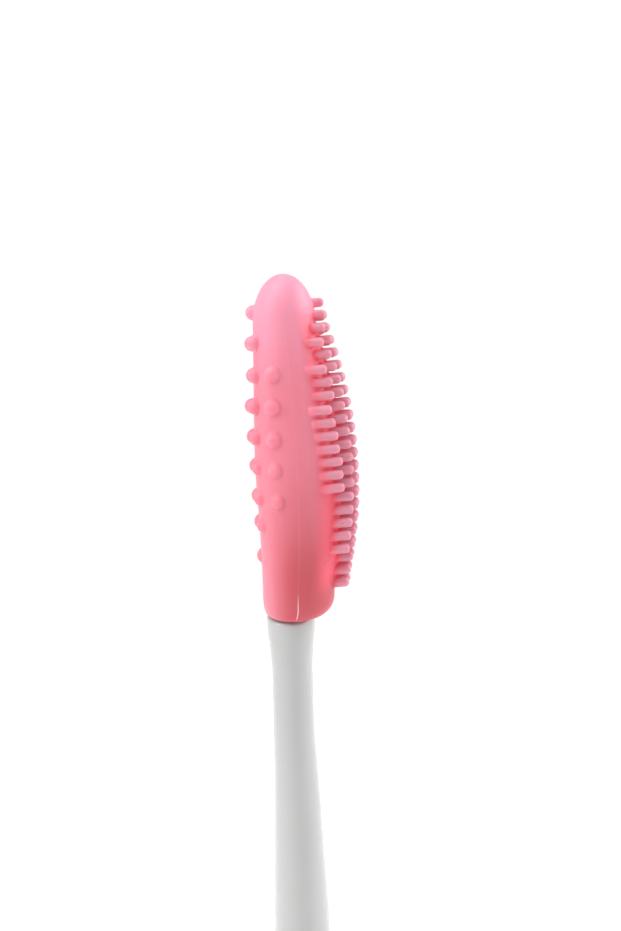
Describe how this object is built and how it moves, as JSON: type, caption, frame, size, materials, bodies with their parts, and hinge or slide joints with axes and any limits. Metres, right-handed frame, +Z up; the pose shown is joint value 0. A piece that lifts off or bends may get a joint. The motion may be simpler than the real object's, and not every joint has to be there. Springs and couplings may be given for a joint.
{
  "type": "finger toothbrush",
  "caption": "Pet finger toothbrush: a pink silicone finger sleeve with bristles on one side and nubs on the other, on a slim plastic handle.",
  "frame": {"origin": "centre of the flat butt face at the handle's lower end", "axes": "+Z up the handle to the sleeve's domed tip, -Y towards the bristles, +Y towards the massaging nubs, X across the width"},
  "size_m": [0.0152, 0.0182, 0.1502],
  "materials": {
    "sleeve_silicone": "translucent pink silicone, satin from the mould",
    "handle_plastic": "white moulded plastic, glossy"
  },
  "bodies": {
    "handle_body": {"handle": "handle_plastic"},
    "sleeve_body": {"brush_sleeve": "sleeve_silicone"}
  },
  "joints": [
    {"name": "sleeve_pull", "type": "slide", "parent": "handle_body", "child": "sleeve_body", "axis": [0, 0, 1], "range_m": [0, 0.05]}
  ]
}
